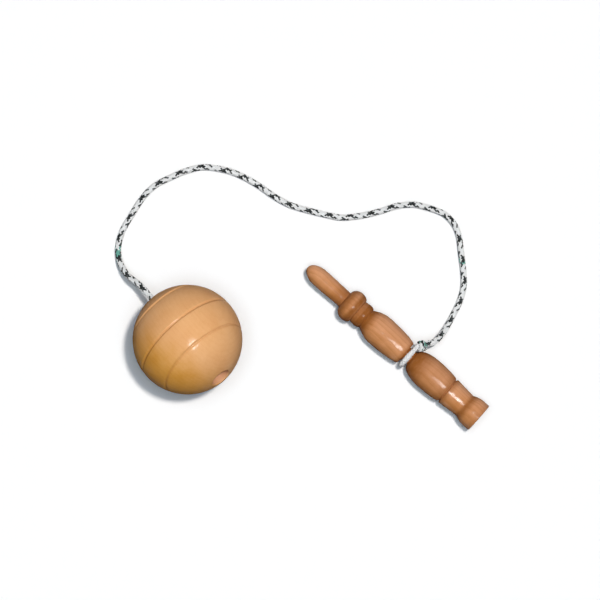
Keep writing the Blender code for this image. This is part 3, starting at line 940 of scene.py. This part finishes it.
class Tubes:
    """Tubes gathered into one mesh, with a colour on each point and a place along each yarn."""

    def __init__(self):
        self.points = []
        self.colours = []
        self.faces = []
        self.places = []
        self.count = 0

    def add(self, rings, colours, along):
        """A closed tube through rings of points: rings by sides by 3."""
        length, sides = rings.shape[:2]
        self.points.append(rings.reshape(-1, 3))
        self.colours.append(np.repeat(colours, sides, axis=0))
        for ring in range(length - 1):
            for side in range(sides):
                following = (side + 1) % sides
                corners = ((ring, side), (ring + 1, side), (ring + 1, following), (ring, following))
                self.faces.append([self.count + row * sides + column for row, column in corners])
                u, next_u = side / sides, (side + 1) / sides
                v, next_v = along[ring], along[ring + 1]
                self.places += [u, v, u, next_v, next_u, next_v, next_u, v]
        last = self.count + (length - 1) * sides
        self.faces.append([self.count + side for side in range(sides)])
        self.faces.append([last + side for side in reversed(range(sides))])
        self.places += [0.0, along[0]] * sides + [0.0, along[-1]] * sides
        self.count += length * sides

    def piece(self, name, material):
        mesh = bpy.data.meshes.new(name)
        mesh.from_pydata(np.vstack(self.points).tolist(), [], self.faces)
        mesh.shade_smooth()
        dye = mesh.attributes.new("yarn_colour", "FLOAT_COLOR", "POINT")
        colours = np.vstack(self.colours)
        dye.data.foreach_set("color", np.hstack([colours, np.ones((len(colours), 1))]).ravel())
        mesh.uv_layers.new(name="yarn").data.foreach_set("uv", self.places)
        mesh.materials.append(material)
        made = bpy.data.objects.new(name, mesh)
        bpy.context.collection.objects.link(made)
        return made


def yarn_lift(turns, number, way):
    """1 where a yarn passes over the others and -1 where it passes under, two and two."""
    crossings = 2 * YARNS_EACH_WAY * turns
    if way > 0:
        phase = 2 * number + crossings - FIRST_CROSSING
    else:
        phase = 2 * number - crossings - FIRST_CROSSING - 2
    wave = np.cos(phase * math.pi / 2)
    return np.tanh(YARN_FLATNESS * wave) / math.tanh(YARN_FLATNESS)


def inside(along, places):
    """Which points lie in any of the stretches from a start to an end."""
    found = np.zeros(len(along), bool)
    for start, end in places:
        found |= (along >= start) & (along <= end)
    return found


def yarn_dye(yarn, along, dark_places, teal_places, teal_yarns):
    """White, with some of the yarns dark and a few that turn teal for a short stretch."""
    dye = np.tile(WHITE_YARN, (len(along), 1))
    if yarn in DARK_YARNS:
        dye[inside(along, dark_places)] = DARK_YARNS[yarn]
    if yarn in teal_yarns:
        dye[inside(along, teal_places)] = TEAL_YARN
    return dye


def roll(along):
    """How far the cord has rolled about its own line, as a cord that lies loose does."""
    angle = np.interp(along, *zip(*ROLL_PLACES))
    for reach, length, start in ROLL_WAVES:
        angle = angle + reach * np.sin(2 * math.pi * along / length + start)
    return angle


def braid(tubes, line, sides, others, girth, along, dark_places, teal_places, teal_yarns=TEAL_YARNS):
    """Sixteen yarns plaited two over two under, round a plain core."""
    turns = np.interp(along, *zip(*BRAID_TURNS))
    girth = np.asarray(girth)[:, None]
    around = np.arange(YARN_SIDES) / YARN_SIDES * 2 * math.pi
    for way in (1, -1):
        for number in range(YARNS_EACH_WAY):
            angle = 2 * math.pi * (way * turns + (number - TOP_YARN_NUMBER) / YARNS_EACH_WAY) + roll(along)
            outward = np.cos(angle)[:, None] * sides + np.sin(angle)[:, None] * others
            reach = girth * (YARN_MIDDLE + YARN_LIFT * yarn_lift(turns, number, way)[:, None])
            middle = line + reach * outward
            run = unit(np.gradient(middle, axis=0))
            flat = unit(np.cross(run, outward))
            upward = np.cross(flat, run)
            width = (girth * YARN_WIDTH / 2)[:, :, None] * np.cos(around)[None, :, None]
            height = (girth * YARN_THICKNESS / 2)[:, :, None] * np.sin(around)[None, :, None]
            rings = middle[:, None, :] + width * flat[:, None, :] + height * upward[:, None, :]
            dye = yarn_dye((number, way), along, dark_places, teal_places, teal_yarns)
            tubes.add(rings, dye, along * MILLIMETRES_PER_METRE)
    spokes = np.arange(CORE_SIDES)[None, :, None] / CORE_SIDES * 2 * math.pi
    ring = np.cos(spokes) * sides[:, None, :] - np.sin(spokes) * others[:, None, :]
    core = line[:, None, :] + CORE_RADIUS * girth[:, :, None] * ring
    tubes.add(core, np.tile(CORE_COLOUR, (len(along), 1)), along * MILLIMETRES_PER_METRE)


def cord_course():
    """The cord's centreline from the stop knot, out of the ball and along the ground to the hitch."""
    ground_height = CORD_RADIUS + CORD_LIFT
    inner_end = BALL_CENTRE + CORD_START_HEIGHT * MOUTH_DIRECTION
    course = [inner_end, inner_end.lerp(BALL_PIVOT, 0.5), BALL_PIVOT]
    course.append(BALL_PIVOT - CORD_STRAIGHT * MOUTH_DIRECTION)
    course += [Vector(point) for point in CORD_COURSE_DOWN]
    course += [Vector((x, y, ground_height)) for x, y in CORD_COURSE_ON_GROUND]
    course += [Vector(point) for point in CORD_COURSE_UP]
    course.append(HITCH_CENTRE)
    return course


def make_cord(material, stop_knot, groove_loop):
    """The free cord, in two halves."""
    line = smooth_line(cord_course(), BRAID_STEP)
    along = distances_along(line)
    sides, others = carried_sides(line, MOUTH_DIRECTION.cross(UP).cross(MOUTH_DIRECTION))
    left = along[-1] - along
    girth = 1.0 - (1.0 - HITCH_CORE_GIRTH) * np.clip(1.0 - left / HITCH_NARROWING, 0.0, 1.0)
    middle = len(line) // 2
    halves = []
    for name, part in (("cord_from_ball", slice(0, middle + 1)), ("cord_to_handle", slice(middle, None))):
        tubes = Tubes()
        course = [values[part] for values in (line, sides, others, girth, along)]
        braid(tubes, *course, WHOLE_LENGTH, TEAL_PLACES)
        half = tubes.piece(name, material)
        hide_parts("cord_run")
        halves.append(half)
    from_ball, to_handle = halves
    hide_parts("cord_end")

    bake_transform(from_ball)
    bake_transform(to_handle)


def make_stop_knot(material):
    """An overhand knot pulled tight, which keeps the cord from slipping out of the ball."""
    centre = np.array(BALL_CENTRE + STOP_KNOT_HEIGHT * MOUTH_DIRECTION)
    axis = np.array(MOUTH_DIRECTION)
    first = np.array(MOUTH_DIRECTION.orthogonal().normalized())
    second = np.cross(axis, first)
    turn = np.linspace(STOP_KNOT_OPENING, 2 * math.pi - STOP_KNOT_OPENING, STOP_KNOT_STEPS)[:, None]
    out = STOP_KNOT_REACH * (np.sin(turn) + 2 * np.sin(2 * turn))
    over = STOP_KNOT_REACH * (np.cos(turn) - 2 * np.cos(2 * turn))
    up = -STOP_KNOT_RISE * np.sin(3 * turn)
    line = smooth_line(centre + out * first + over * second + up * axis, BRAID_STEP)
    sides, others = carried_sides(line, axis)
    tubes = Tubes()
    girth = np.full(len(line), STOP_KNOT_GIRTH)
    braid(tubes, line, sides, others, girth, distances_along(line), WHOLE_LENGTH, ())
    knot = tubes.piece("stop_knot_braid", material)
    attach(knot, "ball_tie")
    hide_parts("stop_knot")
    return knot


def loop_points():
    """From the hitch over the handle, round its groove and up towards the hitch again."""
    outward = (HITCH_CENTRE - GROOVE_CENTRE).normalized()
    across = HANDLE_AXIS.cross(outward)
    first_turn = math.acos(LOOP_RADIUS / (HITCH_CENTRE - GROOVE_CENTRE).length)
    for step in range(LOOP_STEPS + 1):
        angle = first_turn + step / LOOP_STEPS * 2 * (math.pi - first_turn)
        yield GROOVE_CENTRE + LOOP_RADIUS * (math.cos(angle) * outward + math.sin(angle) * across)


def hitch_turn_points():
    """The turns round the cord itself, the last of them tucked in."""
    axis = (Vector(CORD_COURSE_UP[-1]) - HITCH_CENTRE).normalized()
    side = (HANDLE_AXIS - HANDLE_AXIS.dot(axis) * axis).normalized()
    rise = side.cross(axis)
    steps = round(HITCH_TURNS * HITCH_TURN_STEPS)
    for step in range(steps + 1):
        turns = step / HITCH_TURN_STEPS
        angle = 2 * math.pi * turns
        tuck = max(0.0, step - steps + HITCH_TUCK_STEPS) / HITCH_TUCK_STEPS
        radius = HITCH_TURN_RADIUS * (1 - HITCH_TUCK_DEPTH * tuck)
        height = HITCH_TURN_START + HITCH_TURN_LEAD * turns
        spoke = math.cos(angle) * side + math.sin(angle) * rise
        yield HITCH_CENTRE + HITCH_SHIFT + height * axis + radius * spoke


def make_groove_loop(material):
    loop, turns = list(loop_points()), list(hitch_turn_points())
    points = [HITCH_CENTRE] + loop + turns
    girths = [HITCH_CORE_GIRTH] + [LOOP_GIRTH] * len(loop) + [HITCH_TURN_GIRTH] * len(turns)
    line = smooth_line(points, BRAID_STEP)
    along = distances_along(line)
    marks = distances_along(np.array([tuple(point) for point in points]))
    girth = np.interp(along / along[-1], marks / marks[-1], girths)
    sides, others = carried_sides(line, HANDLE_AXIS)
    tubes = Tubes()
    flecked = [(along[-1] - HITCH_FLECKED_LENGTH, along[-1])]
    braid(tubes, line, sides, others, girth, along, flecked, flecked, HITCH_TEAL_YARNS)
    hitch = tubes.piece("hitch_and_loop", material)
    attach(hitch, "handle_tie")
    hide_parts("cord_loop", "cord_hitch")
    return hitch


def make_camera():
    height = VIEW_DISTANCE + VIEW_PLANE_HEIGHT
    bpy.ops.object.camera_add(location=(*VIEW_CENTRE, height), rotation=(0.0, 0.0, VIEW_TURN))
    camera = bpy.context.object
    camera.data.sensor_width = SENSOR_WIDTH
    camera.data.lens = SENSOR_WIDTH * VIEW_DISTANCE / VIEW_WIDTH
    bpy.context.scene.camera = camera


def add_sun(name, tilt, heading, share, width, tint=WHITE):
    """A lamp tilted from straight above towards a heading. Shares that add up to 1 light white to white."""
    bpy.ops.object.light_add(type="SUN", location=(0.0, 0.0, 1.0))
    lamp = bpy.context.object
    lamp.name = name
    level = math.sin(tilt)
    toward = Vector((level * math.cos(heading), level * math.sin(heading), math.cos(tilt)))
    lamp.rotation_euler = toward.to_track_quat("Z", "Y").to_euler()
    lamp.data.energy = share * math.pi
    lamp.data.angle = width
    lamp.data.color = tint
    return lamp


def make_lights():
    """A window and a broad panel for the light, a lamp for the gloss alone, and a faint sky."""
    window = add_sun("window_light", WINDOW_TILT, WINDOW_HEADING, WINDOW_SHARE, WINDOW_WIDTH, WINDOW_TINT)
    panel = add_sun("overhead_panel", 0.0, 0.0, PANEL_SHARE, PANEL_WIDTH, PANEL_TINT)
    for lamp in (window, panel):
        lamp.visible_glossy = False
    gloss_lamp = add_sun("gloss_lamp", GLOSS_TILT, GLOSS_HEADING, GLOSS_SHARE, GLOSS_WIDTH)
    gloss_lamp.visible_diffuse = False
    world = bpy.data.worlds.new("studio")
    world.use_nodes = True
    background = world.node_tree.nodes["Background"]
    background.inputs["Color"].default_value = (*WHITE, 1.0)
    background.inputs["Strength"].default_value = SKY_STRENGTH
    bpy.context.scene.world = world


def make_floor():
    """White paper, which throws less light back up at the object than the camera sees in it."""
    bpy.ops.object.select_all(action="DESELECT")
    bpy.ops.mesh.primitive_plane_add(size=FLOOR_SIZE)
    floor = bpy.context.object
    floor.name = "floor"
    finish = Finish("floor_paper")
    place = finish.node("ShaderNodeTexCoord", output="Object")
    tooth = finish.noise(place, PAPER_TOOTH_PATTERN, detail=2.0)
    paper = finish.mix(tooth, PAPER_TOOTH, WHITE)
    straight_ray = finish.node("ShaderNodeLightPath", output="Is Camera Ray")
    mirrored_ray = straight_ray.output("Is Glossy Ray")
    passing_ray = straight_ray.output("Is Transmission Ray")
    seen = (straight_ray + mirrored_ray + passing_ray).clamped()
    paper = finish.mix(seen, PAPER_BOUNCE, paper)
    finish.set(Base_Color=paper, Roughness=1.0, Specular_IOR_Level=0.0)
    floor.data.materials.append(finish.material)
    floor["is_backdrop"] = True


def write_sizes():
    boxes = {"cad": cad_box, "visual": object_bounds()}
    {name: [list(low), list(high)] for name, (low, high) in boxes.items()}


make_camera()
yarn = braided_yarn("cord_braid")
make_cord(yarn, make_stop_knot(yarn), make_groove_loop(yarn))
make_handle()
make_ball()
make_floor()
make_lights()
bpy.context.scene.view_settings.view_transform = "Standard"
write_sizes()
